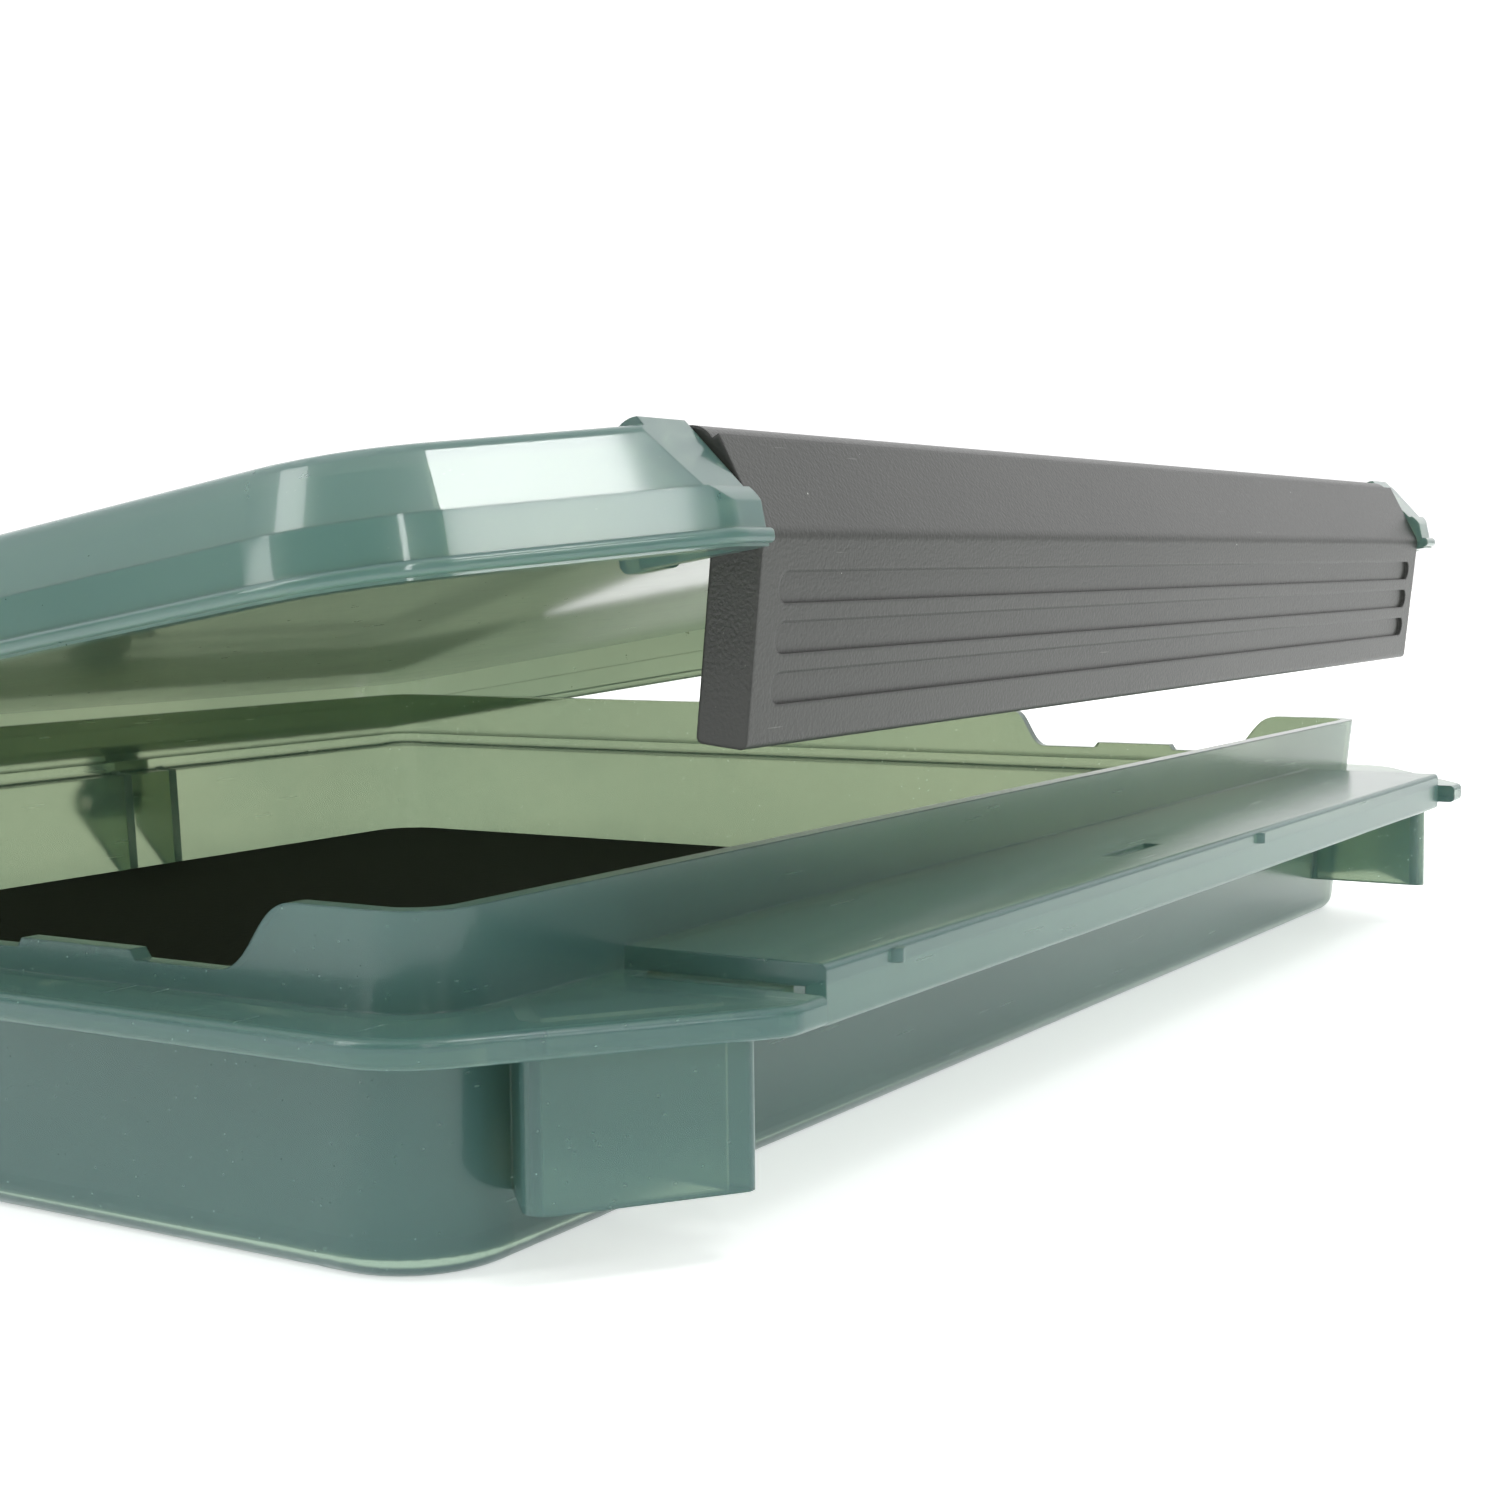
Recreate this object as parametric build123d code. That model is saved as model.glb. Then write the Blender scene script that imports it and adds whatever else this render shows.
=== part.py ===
from build123d import *
import os
from math import tan, radians

# A slim hinged storage case: a translucent tray, a translucent lid that stands slightly
# open, and a full-width snap latch that hangs from the lid's front edge.
# Frame: origin at the middle of the tray's underside, +X along the latch, -Y the latch
# side, +Z up. Everything is modelled shut and latched, then turned to the rest pose.

# ---- driving dimensions, mm ----
CAVITY_LENGTH = 190.0
CAVITY_DEPTH = 164.0
WALL = 1.5
FLOOR = 1.4
TRAY_INSET = 1.3
LIP_TOP = 24.4
BASE_CORNER = 8.5
LIP_CORNER = 4.5
BASE_ROUNDING = 2.2

PARTING_Z = 17.8
FLANGE_THICK = 2.0
SIDE_REACH = 6.0
FRONT_REACH = 17.0
BACK_REACH = 4.0
DIAGONAL_START = 1.5
DIAGONAL_END = 14.8
OUTLINE_CORNER = 8.0
SHOULDER_ROUNDING = 3.0
FLANGE_ROUNDING = 0.6

LATCH_BAY_START = 18.8
RAIL_START = 21.0
RAIL_FRONT = 15.6
RAIL_TOP = 19.4
RAIL_BOTTOM = 15.2
RAIL_THICK = 1.6
RAIL_NUBS = (30.7, 105.0)
NUB_RADIUS = 0.7
NUB_HEIGHT = 1.0
NUB_DROP = 0.8
NUB_RELIEF = 0.4
NUB_RELIEF_HEIGHT = 2.5
RAIL_ROUNDING = 0.5
BRIDGE_REACH = 12.3
BRIDGE_DROP = 0.3
RAIL_SLOT_X = 85.0
RAIL_SLOT_REACH = 10.6
RAIL_SLOT_SIZE = (10.0, 1.6, 1.0)

LUG_BOTTOM = 5.2
LUG_THICK = 1.4
LUG_NOSE = 1.0
LUG_HEEL = 1.6
LUG_PLAN = ((10.0, 2.0), (3.7, -4.0), (17.3, -13.7), (17.3, 2.0))

LIP_DIP_Z = 19.5
LIP_DIP = (11.0, 18.3, 44.5, 50.0)
LIP_BUMP = (26.0, 36.5)
LIP_BUMP_HEIGHT = 0.7
LIP_BUMP_RAMP = 0.5

LID_TOP = 26.3
LID_WALL = 1.4
LID_FRONT_REACH = 16.4
LID_CREASE = 4.0
LID_STEP = 0.35
LID_LOWER_DRAFT = 3.0
LID_UPPER_DRAFT = 22.0
LID_BEVEL_ANGLE = 36.5
LID_FRONT_WALL = 8.4
RIM_HEIGHT = 1.0
RIM_PROUD = 0.3
RIM_ROUNDING = 0.4
LID_CORNER = 14.0
LID_TOP_ROUNDING = 1.0
LID_SEAT = 0.2
RIB_THICK = 1.3
RIB_BACK = 4.2
RIB_ROUNDING = 0.8

HINGE_OFFSET = 7.6
HINGE_DROP = 6.4
HINGE_CENTRES = (-37.4, 37.4)
EAR_SPACING = 8.8
EAR_THICK = 1.5
KNUCKLE_RADIUS = 2.6
EAR_FOOT_Z = 1.6
EAR_FOOT_REACH = 1.2
HINGE_PIN_RADIUS = 1.0

LATCH_PIVOT_REACH = 11.0
LATCH_PIVOT_Z = 24.6
LATCH_PIN_RADIUS = 0.9
LATCH_BOSS_RADIUS = 2.3
LATCH_BOSS_LENGTH = 5.5
LATCH_BARREL_RADIUS = 2.0
LATCH_THICK = 1.1
LATCH_CAP_THICK = 1.4
LATCH_CAP_DEPTH = 3.9
LATCH_FRONT = 17.0
LATCH_BEND_Z = 20.2
LATCH_BOTTOM_Z = 6.0
LATCH_TOP_REACH = 13.0
LATCH_TOP_Z = 26.2
LATCH_SOFT_EDGE = 0.5
LATCH_BEND_ROUNDING = 1.5
LATCH_PIN_REACH = 3.2
CATCH_DEPTH = 0.9
CATCH_GAP = 0.4
GROOVE_HEIGHT = 2.1
GROOVE_PITCH = 3.35
GROOVE_FIRST = 3.6
GROOVE_DEPTH = 0.4
GROOVE_END_GAP = 2.5

MAT_THICK = 1.0
MAT_GAP = 0.5

PIN_CLEARANCE = 0.05
SIDE_CLEARANCE = 0.4

LID_AJAR_DEG = 8.8
LATCH_TUCK_DEG = 14.9

# ---- derived places ----
HALF_LENGTH = CAVITY_LENGTH / 2
HALF_DEPTH = CAVITY_DEPTH / 2
FLANGE_SIDE = HALF_LENGTH + SIDE_REACH
FLANGE_FRONT = -HALF_DEPTH - FRONT_REACH
FLANGE_BACK = HALF_DEPTH + BACK_REACH
BAY_HALF = HALF_LENGTH - LATCH_BAY_START
RAIL_HALF = HALF_LENGTH - RAIL_START
LATCH_HALF = BAY_HALF - SIDE_CLEARANCE
HINGE_Y = HALF_DEPTH + HINGE_OFFSET
HINGE_Z = PARTING_Z - HINGE_DROP
PIVOT_Y = -HALF_DEPTH - LATCH_PIVOT_REACH
PIVOT_Z = LATCH_PIVOT_Z


def rounded_slab(length, depth, radius, z):
    """Flat rounded rectangle at height z."""
    return Pos(0, 0, z) * RectangleRounded(length, depth, radius)


def bar(points, x_start, x_end):
    """Straight bar along X with a section given as (y, z) points."""
    section = Plane.YZ.offset(x_start) * Polygon(*points, align=None)
    return extrude(section, amount=x_end - x_start, dir=(1, 0, 0))


def rod(y, z, radius, x_start, x_end):
    """Round bar along X."""
    section = Plane.YZ.offset(x_start) * Pos(y, z) * Circle(radius)
    return extrude(section, amount=x_end - x_start)


def block(low, high):
    """Box between two opposite corners."""
    size = [b - a for a, b in zip(low, high)]
    return Pos(*low) * Box(*size, align=(Align.MIN, Align.MIN, Align.MIN))


def both_sides(solid):
    """The solid and its mirror image across the middle of the case."""
    return solid + mirror(solid, about=Plane.YZ)


def case_outline(z, inset=0.0, front_reach=FRONT_REACH, side_corner=OUTLINE_CORNER):
    """Plan outline shared by the tray's flange and the lid: swept-out front corners."""
    front = -HALF_DEPTH - front_reach
    diagonal = HALF_LENGTH - DIAGONAL_END
    shoulder = -HALF_DEPTH - DIAGONAL_START
    points = [
        (FLANGE_SIDE, FLANGE_BACK),
        (-FLANGE_SIDE, FLANGE_BACK),
        (-FLANGE_SIDE, shoulder),
        (-diagonal, front),
        (diagonal, front),
        (FLANGE_SIDE, shoulder),
    ]
    outline = Polygon(*points, align=None)
    at_side = [v for v in outline.vertices() if abs(abs(v.X) - FLANGE_SIDE) < 0.1]
    outline = fillet([v for v in at_side if v.Y > 0], OUTLINE_CORNER)
    near_corners = [v for v in outline.vertices() if abs(v.Y - shoulder) < 0.1]
    outline = fillet(near_corners, side_corner)
    shoulders = [v for v in outline.vertices() if abs(v.Y - front) < 0.1]
    outline = fillet(shoulders, SHOULDER_ROUNDING)
    if inset:
        outline = offset(outline, -inset)
    return Pos(0, 0, z) * outline


def cavity_solid(wall, z_low, z_high, corner_low, corner_high):
    """Drafted pan shape, inset by the wall, between two heights."""
    inset_low = TRAY_INSET * (1 - z_low / LIP_TOP) + wall
    inset_high = TRAY_INSET * (1 - z_high / LIP_TOP) + wall
    low = rounded_slab(CAVITY_LENGTH - 2 * inset_low, CAVITY_DEPTH - 2 * inset_low, corner_low, z_low)
    high = rounded_slab(CAVITY_LENGTH - 2 * inset_high, CAVITY_DEPTH - 2 * inset_high, corner_high, z_high)
    return loft([low, high], ruled=True)


def lip_dips():
    """Cutter for the low stretch of the lip on both sides, with a low bump in its floor."""
    top = LIP_TOP + 2
    front_high, front_low, back_low, back_high = [v - HALF_DEPTH for v in LIP_DIP]
    bump_start, bump_end = [v - HALF_DEPTH for v in LIP_BUMP]
    bump_top = LIP_DIP_Z + LIP_BUMP_HEIGHT
    bend_front = (front_high + front_low) / 2
    bend_back = (back_low + back_high) / 2
    drop = Bezier(
        (front_high, LIP_TOP),
        (bend_front, LIP_TOP),
        (bend_front, LIP_DIP_Z),
        (front_low, LIP_DIP_Z),
    )
    floor_line = Polyline(
        (front_low, LIP_DIP_Z),
        (bump_start - LIP_BUMP_RAMP, LIP_DIP_Z),
        (bump_start, bump_top),
        (bump_end, bump_top),
        (bump_end + LIP_BUMP_RAMP, LIP_DIP_Z),
        (back_low, LIP_DIP_Z),
    )
    rise = Bezier(
        (back_low, LIP_DIP_Z),
        (bend_back, LIP_DIP_Z),
        (bend_back, LIP_TOP),
        (back_high, LIP_TOP),
    )
    over = Polyline((back_high, LIP_TOP), (back_high, top), (front_high, top), (front_high, LIP_TOP))
    section = Plane.YZ.offset(-FLANGE_SIDE) * make_face(drop + floor_line + rise + over)
    return extrude(section, amount=2 * FLANGE_SIDE)


def flange():
    """Flat rim round the tray, cut back along the front where the latch bay is."""
    plate = extrude(case_outline(PARTING_Z - FLANGE_THICK), amount=FLANGE_THICK)
    rims = plate.edges().filter_by(Plane.XY)
    plate = fillet(rims, FLANGE_ROUNDING)
    bay = block((-BAY_HALF, FLANGE_FRONT - 1, 0), (BAY_HALF, -HALF_DEPTH - WALL, LIP_TOP))
    return plate - bay


def catch_rail():
    """Ledge in front of the tray with a hanging skirt that the latch snaps under."""
    front = -HALF_DEPTH - RAIL_FRONT
    back = -HALF_DEPTH + WALL / 2
    ledge_under = RAIL_TOP - RAIL_THICK
    skirt_back = front + RAIL_THICK
    rail = bar(
        [
            (front, RAIL_BOTTOM),
            (skirt_back, RAIL_BOTTOM),
            (skirt_back, ledge_under),
            (back, ledge_under),
            (back, RAIL_TOP),
            (front, RAIL_TOP),
        ],
        -RAIL_HALF,
        RAIL_HALF,
    )
    front_edges = [e for e in rail.edges().filter_by(Axis.X) if abs(e.center().Y - front) < 0.01]
    return fillet(front_edges, RAIL_ROUNDING)


def rail_nub_places():
    """Where the two small moulded nubs stand on the rail's front edge, as (x, y, z)."""
    front = -HALF_DEPTH - RAIL_FRONT
    return [(x - HALF_LENGTH, front + 0.1, RAIL_TOP - NUB_DROP) for x in RAIL_NUBS]


def rail_nubs():
    nubs = Part()
    for place in rail_nub_places():
        nubs += Pos(*place) * Cylinder(NUB_RADIUS, NUB_HEIGHT)
    return nubs


def rail_slot():
    """Shallow recess in the top of the rail."""
    return Pos(RAIL_SLOT_X - HALF_LENGTH, -HALF_DEPTH - RAIL_SLOT_REACH, RAIL_TOP) * Box(*RAIL_SLOT_SIZE)


def rail_bridge():
    """Plate that joins one end of the rail to the flange, clear of the latch's end."""
    low = (-BAY_HALF - WALL, -HALF_DEPTH - BRIDGE_REACH, PARTING_Z - FLANGE_THICK)
    high = (-RAIL_HALF + WALL, -HALF_DEPTH, PARTING_Z - BRIDGE_DROP)
    return block(low, high)


def corner_lug():
    """Hollow skirt under one swept-out front corner of the flange, open below."""
    plan = Polygon(*[(x - HALF_LENGTH, y - HALF_DEPTH) for x, y in LUG_PLAN], align=None)
    nose = plan.vertices().sort_by(Axis.Y)[0]
    plan = fillet(nose, LUG_NOSE)
    heel = plan.vertices().sort_by(Axis.X)[0]
    plan = Pos(0, 0, LUG_BOTTOM) * fillet(heel, LUG_HEEL)
    height = PARTING_Z - FLANGE_THICK / 2 - LUG_BOTTOM
    return extrude(plan, amount=height) - extrude(offset(plan, -LUG_THICK), amount=height)


def hinge_ears():
    """Pairs of webs on the back wall that hold the hinge pins."""
    back = HALF_DEPTH
    ears = Part()
    for centre in HINGE_CENTRES:
        for side in (-1, 1):
            middle = centre + side * EAR_SPACING / 2
            x_start = middle - EAR_THICK / 2
            x_end = middle + EAR_THICK / 2
            web = bar(
                [
                    (back - WALL, EAR_FOOT_Z),
                    (back + EAR_FOOT_REACH, EAR_FOOT_Z),
                    (HINGE_Y + KNUCKLE_RADIUS * 0.7, HINGE_Z - KNUCKLE_RADIUS * 0.7),
                    (HINGE_Y, HINGE_Z + KNUCKLE_RADIUS),
                    (back + BACK_REACH - 1, PARTING_Z - FLANGE_THICK / 2),
                    (back - WALL, PARTING_Z - FLANGE_THICK / 2),
                ],
                x_start,
                x_end,
            )
            ears += web + rod(HINGE_Y, HINGE_Z, KNUCKLE_RADIUS, x_start, x_end)
    return ears


def hinge_bores():
    """Running-fit holes along the hinge axis, through ears and knuckles alike."""
    bores = Part()
    for centre in HINGE_CENTRES:
        reach = EAR_SPACING / 2 + EAR_THICK
        bores += rod(HINGE_Y, HINGE_Z, HINGE_PIN_RADIUS + PIN_CLEARANCE, centre - reach, centre + reach)
    return bores


def make_tray():
    outer = cavity_solid(0, 0, LIP_TOP, BASE_CORNER, LIP_CORNER)
    base_edges = outer.edges().group_by(Axis.Z)[0]
    outer = fillet(base_edges, BASE_ROUNDING)
    inner = cavity_solid(WALL, FLOOR, LIP_TOP + 1, BASE_CORNER - WALL, LIP_CORNER - WALL)
    tray = outer + flange() + catch_rail() + rail_nubs() + hinge_ears()
    tray += both_sides(corner_lug()) + both_sides(rail_bridge())
    tray = tray - inner - rail_slot() - lip_dips() - hinge_bores()
    return tray


def make_mat():
    inset = TRAY_INSET + WALL + MAT_GAP
    sheet = rounded_slab(
        CAVITY_LENGTH - 2 * inset,
        CAVITY_DEPTH - 2 * inset,
        BASE_CORNER - WALL - MAT_GAP,
        FLOOR,
    )
    return extrude(sheet, amount=MAT_THICK)


def lid_outline(z, inset):
    return case_outline(z, inset, LID_FRONT_REACH, LID_CORNER)


def lid_front_cutter(wall):
    """Everything in front of the lid's front face: rounded lower band, small step, long bevel."""
    front = -HALF_DEPTH - LID_FRONT_REACH + wall * 1.25
    crease_z = PARTING_Z + LID_CREASE
    face_top = (front + 0.1, PARTING_Z + 1.5)
    band_top = (front + 1.1, crease_z)
    step = (band_top[0] + LID_STEP, crease_z)
    bevel_height = 12
    bevel_top = (step[0] + bevel_height * tan(radians(LID_BEVEL_ANGLE)), crease_z + bevel_height)
    far = front - 5
    edges = (
        ThreePointArc(face_top, (front + 0.32, PARTING_Z + 2.9), band_top)
        + Polyline(band_top, step, bevel_top, (far, bevel_top[1]), (far, face_top[1]), face_top)
    )
    section = Plane.YZ.offset(-FLANGE_SIDE) * make_face(edges)
    return extrude(section, amount=2 * FLANGE_SIDE, dir=(1, 0, 0))


def lid_dome(wall):
    """Lid's outer shape (wall 0) or its hollow (wall > 0): two drafted bands with a step between."""
    crease_z = PARTING_Z + LID_CREASE
    top_z = LID_TOP - wall
    lower_inset = LID_SEAT + wall
    upper_inset = lower_inset + LID_CREASE * tan(radians(LID_LOWER_DRAFT)) + LID_STEP
    lower = extrude(lid_outline(PARTING_Z, lower_inset), amount=LID_CREASE, taper=LID_LOWER_DRAFT)
    upper = extrude(lid_outline(crease_z, upper_inset), amount=top_z - crease_z, taper=LID_UPPER_DRAFT)
    dome = lower + upper
    if not wall:
        dome = fillet(dome.edges().group_by(Axis.Z)[-1], LID_TOP_ROUNDING)
    return dome - lid_front_cutter(wall)


def lid_knuckles():
    """Hinge knuckles between the tray's ears, with arms down from the lid's back rim."""
    half = EAR_SPACING / 2 - EAR_THICK / 2 - SIDE_CLEARANCE
    arm_front = FLANGE_BACK + 0.4
    arm_back = HINGE_Y + KNUCKLE_RADIUS
    arm_top = PARTING_Z + RIM_HEIGHT
    knuckles = Part()
    for centre in HINGE_CENTRES:
        arm = bar(
            [
                (arm_front, HINGE_Z),
                (arm_back, HINGE_Z),
                (arm_back, PARTING_Z - 1.5),
                (arm_front + 1.5, arm_top),
                (FLANGE_BACK - LID_WALL, arm_top),
                (FLANGE_BACK - LID_WALL, PARTING_Z + 0.3),
                (arm_front, PARTING_Z + 0.3),
            ],
            centre - half,
            centre + half,
        )
        knuckles += arm + rod(HINGE_Y, HINGE_Z, KNUCKLE_RADIUS, centre - half, centre + half)
    return knuckles


def lid_horn_end():
    """Closed end of one front corner of the lid, with the boss that holds the latch pin."""
    x_end = -BAY_HALF
    x_start = x_end - LID_WALL
    inner_y = -HALF_DEPTH - LID_FRONT_WALL + LID_WALL
    slice_box = block((x_start, FLANGE_FRONT - 1, PARTING_Z), (x_end, inner_y, LID_TOP + 1))
    wall = lid_dome(0) & slice_box
    boss = rod(PIVOT_Y, PIVOT_Z, LATCH_BOSS_RADIUS, x_end - LATCH_BOSS_LENGTH, x_end)
    return wall + (boss - lid_front_cutter(0))


def lid_rib():
    """Short rib behind each latch end that drops into the gap beside the catch rail."""
    x_start = -BAY_HALF + SIDE_CLEARANCE
    front = -HALF_DEPTH - LID_FRONT_WALL
    back = -HALF_DEPTH - RIB_BACK
    rib = block((x_start, front, PARTING_Z), (x_start + RIB_THICK, back, LID_TOP - LID_WALL / 2))
    lower_edges = rib.edges().filter_by(Axis.X).group_by(Axis.Z)[0]
    return fillet(lower_edges, RIB_ROUNDING)


def make_lid():
    hollow_front = -HALF_DEPTH - LID_FRONT_WALL
    shell = lid_dome(0) - lid_dome(LID_WALL)
    bay = block((-BAY_HALF, FLANGE_FRONT - 1, 0), (BAY_HALF, hollow_front, LID_TOP + 5))
    rim = extrude(lid_outline(PARTING_Z + LID_SEAT, -RIM_PROUD), amount=RIM_HEIGHT)
    rim = fillet(rim.edges().filter_by(Plane.XY), RIM_ROUNDING)
    rim -= extrude(lid_outline(PARTING_Z, 1.0), amount=3 * RIM_HEIGHT)
    front_wall = block(
        (-BAY_HALF, hollow_front, RAIL_TOP + 0.5),
        (BAY_HALF, hollow_front + LID_WALL, LID_TOP - LID_WALL / 2),
    )
    lid = (shell + rim) - bay + front_wall
    lid += both_sides(lid_horn_end()) + both_sides(lid_rib()) + lid_knuckles()
    reach = LATCH_HALF + LATCH_PIN_REACH + SIDE_CLEARANCE
    lid -= hinge_bores()
    lid -= rod(PIVOT_Y, PIVOT_Z, LATCH_PIN_RADIUS + PIN_CLEARANCE, -reach, reach)
    return lid


def make_latch():
    y_front = -HALF_DEPTH - LATCH_FRONT
    y_top = -HALF_DEPTH - LATCH_TOP_REACH
    y_cap = y_front + LATCH_CAP_DEPTH
    slope_y = y_front - y_top
    slope_z = LATCH_BEND_Z - LATCH_TOP_Z
    slope_length = (slope_y ** 2 + slope_z ** 2) ** 0.5
    inward_y = -slope_z / slope_length * LATCH_THICK
    inward_z = slope_y / slope_length * LATCH_THICK
    bend_inner_z = LATCH_BEND_Z - 0.35
    outer = [(y_top, LATCH_TOP_Z), (y_front, LATCH_BEND_Z), (y_front, LATCH_BOTTOM_Z)]
    inner = [
        (y_front + LATCH_THICK, LATCH_BOTTOM_Z),
        (y_front + LATCH_THICK, bend_inner_z),
        (y_top + inward_y, LATCH_TOP_Z + inward_z),
    ]
    panel = bar(outer + inner, -LATCH_HALF, LATCH_HALF)
    barrel = rod(PIVOT_Y, PIVOT_Z, LATCH_BARREL_RADIUS, -LATCH_HALF, LATCH_HALF)
    cap = bar(
        outer + [(y_cap, LATCH_BOTTOM_Z), (y_cap, LATCH_BEND_Z + 0.6), (PIVOT_Y, PIVOT_Z)],
        -LATCH_HALF,
        -LATCH_HALF + LATCH_CAP_THICK,
    )
    latch = panel + barrel + both_sides(cap)
    long_edges = latch.edges().filter_by(Axis.X)
    at_front = [e for e in long_edges if abs(e.center().Y - y_front) < 0.01]
    latch = fillet([e for e in at_front if abs(e.center().Z - LATCH_BEND_Z) < 0.01], LATCH_BEND_ROUNDING)
    long_edges = latch.edges().filter_by(Axis.X)
    at_front = [e for e in long_edges if abs(e.center().Y - y_front) < 0.01]
    latch = fillet([e for e in at_front if abs(e.center().Z - LATCH_BOTTOM_Z) < 0.01], LATCH_SOFT_EDGE)
    heels = [e for e in latch.edges().filter_by(Axis.X) if abs(e.center().Y - y_cap) < 0.01]
    latch = fillet([e for e in heels if abs(e.center().Z - LATCH_BOTTOM_Z) < 0.01], LATCH_SOFT_EDGE)
    inner_face = y_front + LATCH_THICK
    catch = bar(
        [
            (inner_face - LATCH_THICK / 3, RAIL_BOTTOM - CATCH_GAP),
            (inner_face + CATCH_DEPTH, RAIL_BOTTOM - 1.5 * CATCH_GAP),
            (inner_face + CATCH_DEPTH, RAIL_BOTTOM - 2.5 * CATCH_GAP),
            (inner_face - LATCH_THICK / 3, RAIL_BOTTOM - 6.5 * CATCH_GAP),
        ],
        -LATCH_HALF + LATCH_CAP_THICK,
        LATCH_HALF - LATCH_CAP_THICK,
    )
    latch += catch
    for x, y, z in rail_nub_places():
        latch -= Pos(x, y, z + NUB_RELIEF) * Cylinder(NUB_RADIUS + NUB_RELIEF, NUB_RELIEF_HEIGHT)
    for row in range(3):
        z = LATCH_BEND_Z - GROOVE_FIRST - row * GROOVE_PITCH
        groove = Plane((0, y_front, z), x_dir=(1, 0, 0), z_dir=(0, 1, 0)) * SlotOverall(
            2 * (LATCH_HALF - GROOVE_END_GAP), GROOVE_HEIGHT
        )
        latch -= extrude(groove, amount=GROOVE_DEPTH)
    socket_end = -LATCH_HALF + LATCH_PIN_REACH + SIDE_CLEARANCE
    socket = rod(PIVOT_Y, PIVOT_Z, LATCH_PIN_RADIUS + PIN_CLEARANCE, -LATCH_HALF - 1, socket_end)
    return latch - both_sides(socket)


def opened(solid):
    """Turn a part with the lid from shut to the rest pose, slightly ajar."""
    return solid.rotate(Axis((0, HINGE_Y, HINGE_Z), (-1, 0, 0)), LID_AJAR_DEG)


def tucked(solid):
    """Swing a latch part inwards about the latch pins."""
    return solid.rotate(Axis((0, PIVOT_Y, PIVOT_Z), (1, 0, 0)), LATCH_TUCK_DEG)


def hinge_pin(centre):
    reach = EAR_SPACING / 2 + EAR_THICK / 2
    return rod(HINGE_Y, HINGE_Z, HINGE_PIN_RADIUS, centre - reach, centre + reach)


def latch_pin():
    start = -LATCH_HALF - LATCH_PIN_REACH
    return rod(PIVOT_Y, PIVOT_Z, LATCH_PIN_RADIUS, start, -LATCH_HALF + LATCH_PIN_REACH)


parts = {
    "tray": make_tray(),
    "floor_mat": make_mat(),
    "lid": opened(make_lid()),
    "latch": opened(tucked(make_latch())),
    "hinge_pin_left": opened(hinge_pin(HINGE_CENTRES[0])),
    "hinge_pin_right": opened(hinge_pin(HINGE_CENTRES[1])),
    "latch_pin_left": opened(tucked(latch_pin())),
    "latch_pin_right": opened(tucked(mirror(latch_pin(), about=Plane.YZ))),
}

os.makedirs("parts", exist_ok=True)
for name, solid in parts.items():
    export_step(solid, f"parts/{name}.step")
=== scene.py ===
import bpy
import math
from mathutils import Matrix, Vector

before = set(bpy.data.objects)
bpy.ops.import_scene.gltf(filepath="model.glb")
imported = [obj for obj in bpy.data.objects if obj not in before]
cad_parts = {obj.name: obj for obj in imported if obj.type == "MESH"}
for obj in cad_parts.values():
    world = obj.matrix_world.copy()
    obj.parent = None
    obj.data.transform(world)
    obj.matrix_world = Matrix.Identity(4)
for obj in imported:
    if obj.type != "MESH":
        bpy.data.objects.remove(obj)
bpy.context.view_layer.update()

# The case stands on the floor at z = 0: +X along the latch, -Y the latch side, metres.

# ---- camera ----
CAMERA_PLACE = (-0.20057, -0.17019, 0.04520)
CAMERA_YAW_DEG = -58.291
CAMERA_PITCH_DEG = -4.624
CAMERA_ROLL_DEG = -0.658
CAMERA_LENS_MM = 54.56
CAMERA_SENSOR_MM = 36.0
CAMERA_CLIP_START = 0.005

# ---- floor and studio ----
FLOOR_REACH = 3.0  # from the middle to each side
FLOOR_ROUGHNESS = 0.6
FLOOR_LIFT = 0.55  # the white sweep glows, so shadows on it stay faint
BACKDROP_WAY = (0.851, 0.525, 0.0)  # level direction of the white backdrop
BACKDROP_SHARE = 0.5  # the studio's bright side leans this much to the backdrop
OVERHEAD_SHARE = 0.87  # and this much straight up
ROOM_EDGE = 0.22  # cosine from the bright side below which the room is dim
SKY_EDGE = 0.52  # cosine from the bright side above which the sky is bright
ROOM_DIM = 0.16  # the room on the near side, as it lights the case
SKY_BRIGHT = 1.3  # overhead and backdrop, as they light the case
WHITE_SEEN = 1.15  # all of it, as the camera sees it

# ---- soft boxes, aimed at the lid's near corner ----
LID_CORNER_PLACE = Vector((-0.098, -0.080, 0.048))
SOFT_BOX_REACH = 0.8
SOFT_BOXES = (  # name, way from the corner, size in metres, watts
    ("window", (-0.12, -0.53, 0.84), (0.14, 0.12), 1.1),
    ("low_window", (-0.26, -0.88, 0.36), (0.1, 0.18), 0.7),
    ("left_strip", (-0.68, 0.46, 0.42), (0.2, 0.62), 2.4),
    ("front_strip", (-0.62, -0.66, 0.45), (0.045, 0.5), 0.9),
)

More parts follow.
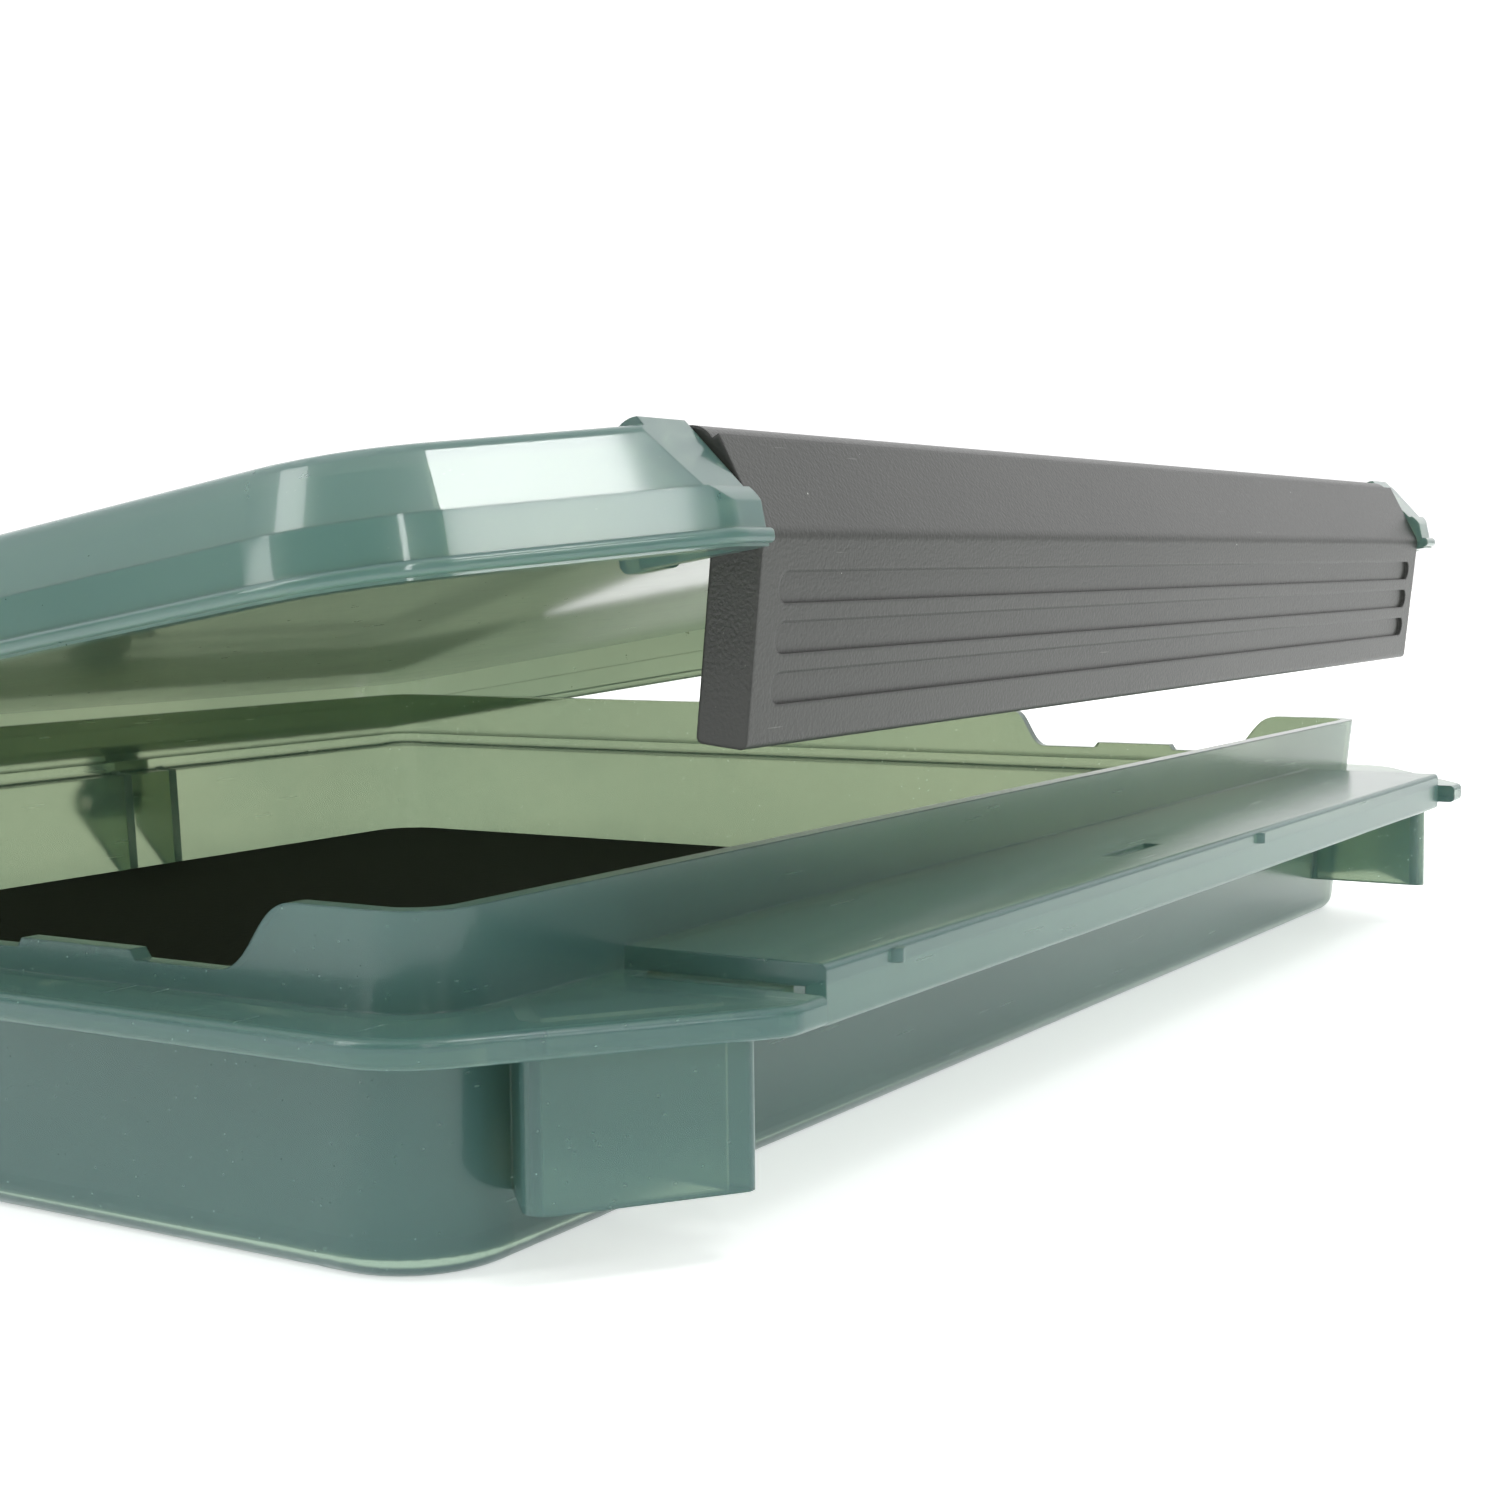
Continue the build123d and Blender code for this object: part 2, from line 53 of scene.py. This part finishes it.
# ---- colours, linear ----
MILK_THIN = (0.130, 0.275, 0.270)
MILK_THICK = (0.098, 0.220, 0.220)
GLOW_THIN = (0.58, 0.69, 0.44)
GLOW_THICK = (0.44, 0.57, 0.37)
LATCH_DARK = (0.023, 0.025, 0.022)
LATCH_PALE = (0.032, 0.034, 0.030)
MAT_DARK = (0.006, 0.006, 0.005)
MAT_PALE = (0.016, 0.015, 0.012)
STEEL_DARK = (0.42, 0.42, 0.43)
STEEL_PALE = (0.58, 0.58, 0.59)
FLOOR_DARK = (0.88, 0.90, 0.88)
FLOOR_PALE = (0.90, 0.92, 0.90)
SPECK_WHITE = (0.75, 0.78, 0.72)
SPECK_YELLOW = (0.55, 0.42, 0.16)
FULL_WHITE = (1, 1, 1, 1)

# ---- material detail ----
NOISE_LOW = 0.3  # most of a noise lies between these two values
NOISE_HIGH = 0.7
SPECK_CORE = 0.6  # a speck is solid to this share of its radius, then fades
SPECK_CHOICE = 0.01  # how sharply the cells that hold a speck are picked
SCRATCH_CORE = 0.2  # a hairline is solid to this distance from its middle, in cells
SCRATCH_EDGE = 0.45  # and gone at this one
SCRATCH_CHOICE = 0.002
EDGE_SAMPLES = 4
PLASTIC_IOR = 1.4
BODY_SPECULAR = 0.25
FLOW_BUMP = 0.0014
CASE_EDGE = 0.0003
LATCH_EDGE = 0.00035


def make_camera():
    """Low three-quarter view across the latch end of the case."""
    data = bpy.data.cameras.new("camera")
    data.lens = CAMERA_LENS_MM
    data.sensor_width = CAMERA_SENSOR_MM
    data.clip_start = CAMERA_CLIP_START
    camera = bpy.data.objects.new("camera", data)
    bpy.context.collection.objects.link(camera)
    turn = Matrix.Rotation(math.radians(CAMERA_YAW_DEG), 4, "Z")
    tilt = Matrix.Rotation(math.radians(90 + CAMERA_PITCH_DEG), 4, "X")
    roll = Matrix.Rotation(math.radians(CAMERA_ROLL_DEG), 4, "Z")
    camera.matrix_world = Matrix.Translation(CAMERA_PLACE) @ turn @ tilt @ roll
    bpy.context.scene.camera = camera


# ---- node material helpers ----
class Nodes:
    """Short way to add and wire the nodes of one material."""

    def __init__(self, name):
        self.material = bpy.data.materials.new(name)
        self.material.use_nodes = True
        self.tree = self.material.node_tree
        self.tree.nodes.clear()
        self.output = self.add("ShaderNodeOutputMaterial")
        self.coords = self.add("ShaderNodeTexCoord").outputs["Object"]

    def add(self, kind):
        return self.tree.nodes.new(kind)

    def link(self, source, target):
        self.tree.links.new(source, target)

    def stretched(self, scale, turn=(0, 0, 0)):
        """Object coordinates scaled and turned, for grain that runs one way."""
        mapping = self.add("ShaderNodeMapping")
        mapping.inputs["Scale"].default_value = scale
        mapping.inputs["Rotation"].default_value = turn
        self.link(self.coords, mapping.inputs["Vector"])
        return mapping.outputs["Vector"]

    def noise(self, scale, detail=3.0, roughness=0.5, coords=None):
        node = self.add("ShaderNodeTexNoise")
        node.inputs["Scale"].default_value = scale
        node.inputs["Detail"].default_value = detail
        node.inputs["Roughness"].default_value = roughness
        self.link(coords or self.coords, node.inputs["Vector"])
        return node.outputs["Fac"]

    def tones(self, source, dark, pale, high=NOISE_HIGH):
        """Colour that goes from dark to pale as a noise rises."""
        node = self.add("ShaderNodeValToRGB")
        stops = ((NOISE_LOW, dark), (high, pale))
        for element, (position, colour) in zip(node.color_ramp.elements, stops):
            element.position = position
            element.color = (*colour, 1.0)
        self.link(source, node.inputs["Fac"])
        return node.outputs["Color"]

    def spread(self, source, low, high, start=0.0, end=1.0):
        """Map a value from start..end to low..high, clamped."""
        node = self.add("ShaderNodeMapRange")
        node.inputs["From Min"].default_value = start
        node.inputs["From Max"].default_value = end
        node.inputs["To Min"].default_value = low
        node.inputs["To Max"].default_value = high
        self.link(source, node.inputs["Value"])
        return node.outputs["Result"]

    def times(self, a, b):
        node = self.add("ShaderNodeMath")
        node.operation = "MULTIPLY"
        self.link(a, node.inputs[0])
        self.link(b, node.inputs[1])
        return node.outputs[0]

    def plus(self, a, b):
        """Sum of two values, no more than 1."""
        node = self.add("ShaderNodeMath")
        node.operation = "ADD"
        node.use_clamp = True
        self.link(a, node.inputs[0])
        self.link(b, node.inputs[1])
        return node.outputs[0]

    def blend(self, amount, under, over):
        """Lay a plain colour over a linked one by an amount."""
        node = self.add("ShaderNodeMix")
        node.data_type = "RGBA"
        self.link(amount, node.inputs["Factor"])
        self.link(under, node.inputs["A"])
        node.inputs["B"].default_value = (*over, 1.0)
        return node.outputs["Result"]

    def cells(self, scale, coords, channel):
        """Voronoi cells: the distance from each cell's middle, and one random value for each cell."""
        node = self.add("ShaderNodeTexVoronoi")
        node.inputs["Scale"].default_value = scale
        self.link(coords, node.inputs["Vector"])
        split = self.add("ShaderNodeSeparateColor")
        self.link(node.outputs["Color"], split.inputs["Color"])
        return node.outputs["Distance"], split.outputs[channel]

    def specks(self, cell, radius, share):
        """Round dust specks: cell size and speck radius in metres, and the share of cells that hold one."""
        distance, draw = self.cells(1 / cell, self.coords, "Red")
        chosen = self.spread(draw, 1.0, 0.0, share, share + SPECK_CHOICE)
        size = radius / cell
        round_dot = self.spread(distance, 1.0, 0.0, SPECK_CORE * size, size)
        return self.times(chosen, round_dot)

    def scratches(self, turn, length, width, share):
        """Sparse hairline marks of a length and width in metres, run in the turned direction."""
        coords = self.stretched((1 / length, 1 / width, 1 / width), turn)
        distance, draw = self.cells(1.0, coords, "Green")
        chosen = self.spread(draw, 1.0, 0.0, share, share + SCRATCH_CHOICE)
        line = self.spread(distance, 1.0, 0.0, SCRATCH_CORE, SCRATCH_EDGE)
        return self.times(chosen, line)

    def bump(self, height, strength, distance, normal=None):
        node = self.add("ShaderNodeBump")
        node.inputs["Strength"].default_value = strength
        node.inputs["Distance"].default_value = distance
        self.link(height, node.inputs["Height"])
        if normal is not None:
            self.link(normal, node.inputs["Normal"])
        return node.outputs["Normal"]

    def soft_edges(self, radius):
        """Normals rounded over the edges, as a moulded edge is."""
        node = self.add("ShaderNodeBevel")
        node.samples = EDGE_SAMPLES
        node.inputs["Radius"].default_value = radius
        return node.outputs["Normal"]

    def principled(self, links, constants):
        """Principled shader with some sockets linked and constants set on others."""
        shader = self.add("ShaderNodeBsdfPrincipled")
        for socket, value in constants.items():
            shader.inputs[socket].default_value = value
        for socket, source in links.items():
            self.link(source, shader.inputs[socket])
        return shader.outputs["BSDF"]

    def finished(self, shader):
        """The material, with this shader as its surface."""
        self.link(shader, self.output.inputs["Surface"])
        return self.material


# ---- materials ----
def translucent_plastic(name, passing, polish, skin, skin_rough, waviness):
    """Milky blue-green plastic: it scatters blue-green, passes a warmer green, and has a moulded gloss.

    passing is the share of light that goes through each face, polish the least roughness of the body,
    skin and skin_rough the strength and roughness of its gloss, and waviness how uneven it lies.
    """
    n = Nodes(name)
    cloud = n.noise(scale=14.0, detail=4.0, roughness=0.6)
    flow = n.noise(scale=1.0, detail=2.0, roughness=0.4, coords=n.stretched((30, 30, 60)))
    milk = n.tones(cloud, MILK_THICK, MILK_THIN)
    glow = n.tones(cloud, GLOW_THICK, GLOW_THIN)
    large_dust = n.specks(cell=0.011, radius=0.00012, share=0.16)
    small_dust = n.specks(cell=0.005, radius=0.00007, share=0.05)
    dust = n.plus(large_dust, small_dust)
    long_marks = n.scratches(turn=(0.3, 0.2, 0.5), length=0.006, width=0.00016, share=0.0012)
    short_marks = n.scratches(turn=(0.1, 0.9, 2.1), length=0.004, width=0.00016, share=0.0012)
    marks = n.plus(long_marks, short_marks)
    milk = n.blend(n.plus(dust, n.spread(marks, low=0.0, high=0.2)), milk, SPECK_WHITE)
    grain = n.noise(scale=420.0)
    normal = n.bump(flow, waviness, FLOW_BUMP, n.soft_edges(CASE_EDGE))
    rough = n.plus(n.spread(grain, low=polish, high=polish + 0.05), n.spread(marks, low=0.0, high=0.3))
    gloss = {"Coat Weight": skin, "Coat Roughness": skin_rough}
    body = n.principled(
        {"Base Color": milk, "Roughness": rough, "Normal": normal},
        {"Specular IOR Level": BODY_SPECULAR, **gloss},
    )
    through = n.principled(
        {"Base Color": glow, "Roughness": rough, "Normal": normal},
        {"Transmission Weight": 1.0, "IOR": PLASTIC_IOR, **gloss},
    )
    veil = n.plus(dust, n.spread(flow, low=0.0, high=0.2))
    mix = n.add("ShaderNodeMixShader")
    n.link(n.spread(veil, low=passing, high=passing - 0.3), mix.inputs["Fac"])
    n.link(body, mix.inputs[1])
    n.link(through, mix.inputs[2])
    return n.finished(mix.outputs["Shader"])


def latch_plastic():
    """Dark warm-grey moulded plastic with a fine spark-eroded grain, a dull sheen and a few specks."""
    n = Nodes("latch_plastic")
    colour = n.tones(n.noise(scale=30.0, detail=4.0), LATCH_DARK, LATCH_PALE)
    large_dust = n.specks(cell=0.004, radius=0.00009, share=0.14)
    small_dust = n.specks(cell=0.0017, radius=0.00005, share=0.1)
    gold = n.specks(cell=0.009, radius=0.00014, share=0.08)
    marks = n.scratches(turn=(0.2, 0.4, 0.15), length=0.003, width=0.00012, share=0.0012)
    colour = n.blend(n.spread(n.plus(large_dust, small_dust), low=0.0, high=0.6), colour, SPECK_WHITE)
    colour = n.blend(gold, colour, SPECK_YELLOW)
    colour = n.blend(n.spread(marks, low=0.0, high=0.1), colour, SPECK_WHITE)
    grain = n.noise(scale=3600.0, detail=2.0)
    rough = n.spread(grain, low=0.28, high=0.42)
    normal = n.bump(grain, strength=0.35, distance=0.0001, normal=n.soft_edges(LATCH_EDGE))
    return n.finished(n.principled({"Base Color": colour, "Roughness": rough, "Normal": normal}, {}))


def mat_rubber():
    """Dull black-brown foam rubber."""
    n = Nodes("mat_rubber")
    grain = n.noise(scale=900.0, detail=5.0, roughness=0.7)
    colour = n.tones(grain, MAT_DARK, MAT_PALE, high=0.75)
    dust = n.specks(cell=0.007, radius=0.0002, share=0.25)
    colour = n.blend(n.spread(dust, low=0.0, high=0.3), colour, SPECK_WHITE)
    rough = n.spread(grain, low=0.75, high=0.95)
    normal = n.bump(grain, strength=0.5, distance=0.0003)
    return n.finished(n.principled({"Base Color": colour, "Roughness": rough, "Normal": normal}, {}))


def pin_steel():
    """Drawn steel pin."""
    n = Nodes("pin_steel")
    streak = n.noise(scale=1.0, detail=2.0, coords=n.stretched((60, 4000, 4000)))
    colour = n.tones(streak, STEEL_DARK, STEEL_PALE)
    rough = n.spread(streak, low=0.2, high=0.35)
    return n.finished(n.principled({"Base Color": colour, "Roughness": rough}, {"Metallic": 1.0}))


def floor_white():
    """Pale matt sweep that glows a little."""
    n = Nodes("floor_white")
    colour = n.tones(n.noise(scale=6.0), FLOOR_DARK, FLOOR_PALE)
    constants = {
        "Roughness": FLOOR_ROUGHNESS,
        "Emission Color": FULL_WHITE,
        "Emission Strength": FLOOR_LIFT,
    }
    return n.finished(n.principled({"Base Color": colour}, constants))


def dress(nodes, material):
    """Give CAD nodes a material in all their slots."""
    for name in nodes:
        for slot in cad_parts[name].material_slots:
            slot.material = material


# ---- set ----
def make_floor():
    """Plain pale table."""
    reach = FLOOR_REACH
    corners = [(-reach, -reach, 0), (reach, -reach, 0), (reach, reach, 0), (-reach, reach, 0)]
    mesh = bpy.data.meshes.new("floor")
    mesh.from_pydata(corners, [], [(0, 1, 2, 3)])
    floor = bpy.data.objects.new("floor", mesh)
    bpy.context.collection.objects.link(floor)
    mesh.materials.append(floor_white())


def make_soft_boxes():
    """Rectangular lights round the lid's near corner, all facing it."""
    for name, way, size, watts in SOFT_BOXES:
        data = bpy.data.lights.new(name, "AREA")
        data.shape = "RECTANGLE"
        data.size, data.size_y = size
        data.energy = watts
        light = bpy.data.objects.new(name, data)
        bpy.context.collection.objects.link(light)
        place = LID_CORNER_PLACE + Vector(way).normalized() * SOFT_BOX_REACH
        turn = (LID_CORNER_PLACE - place).to_track_quat("-Z", "Y").to_matrix().to_4x4()
        light.matrix_world = Matrix.Translation(place) @ turn


def make_world():
    """White studio: it lights the case from overhead and behind, less from the near side.

    The camera sees it plain white all round.
    """
    world = bpy.data.worlds.new("studio")
    bpy.context.scene.world = world
    world.use_nodes = True
    tree = world.node_tree
    tree.nodes.clear()
    way = tree.nodes.new("ShaderNodeTexCoord").outputs["Generated"]
    dot = tree.nodes.new("ShaderNodeVectorMath")
    dot.operation = "DOT_PRODUCT"
    bright_side = Vector(BACKDROP_WAY) * BACKDROP_SHARE + Vector((0, 0, OVERHEAD_SHARE))
    dot.inputs[1].default_value = bright_side.normalized()
    tree.links.new(way, dot.inputs[0])
    level = tree.nodes.new("ShaderNodeMapRange")
    level.interpolation_type = "SMOOTHSTEP"
    level.inputs["From Min"].default_value = ROOM_EDGE
    level.inputs["From Max"].default_value = SKY_EDGE
    level.inputs["To Min"].default_value = ROOM_DIM
    level.inputs["To Max"].default_value = SKY_BRIGHT
    tree.links.new(dot.outputs["Value"], level.inputs["Value"])
    lighting = tree.nodes.new("ShaderNodeBackground")
    tree.links.new(level.outputs["Result"], lighting.inputs["Strength"])
    seen = tree.nodes.new("ShaderNodeBackground")
    seen.inputs["Strength"].default_value = WHITE_SEEN
    for node in (lighting, seen):
        node.inputs["Color"].default_value = FULL_WHITE
    mix = tree.nodes.new("ShaderNodeMixShader")
    tree.links.new(tree.nodes.new("ShaderNodeLightPath").outputs["Is Camera Ray"], mix.inputs["Fac"])
    tree.links.new(lighting.outputs["Background"], mix.inputs[1])
    tree.links.new(seen.outputs["Background"], mix.inputs[2])
    output = tree.nodes.new("ShaderNodeOutputWorld")
    tree.links.new(mix.outputs["Shader"], output.inputs["Surface"])


make_camera()
tray_plastic = translucent_plastic(
    "tray_plastic", passing=0.62, polish=0.18, skin=0.2, skin_rough=0.2, waviness=0.1
)
lid_plastic = translucent_plastic(
    "lid_plastic", passing=0.62, polish=0.26, skin=0.6, skin_rough=0.06, waviness=0.4
)
dress(["tray"], tray_plastic)
dress(["lid"], lid_plastic)
dress(["latch"], latch_plastic())
dress(["floor_mat"], mat_rubber())
dress(["hinge_pin_left", "hinge_pin_right", "latch_pin_left", "latch_pin_right"], pin_steel())
make_floor()
make_world()
make_soft_boxes()
bpy.context.scene.view_settings.view_transform = "Standard"  # white comes out white
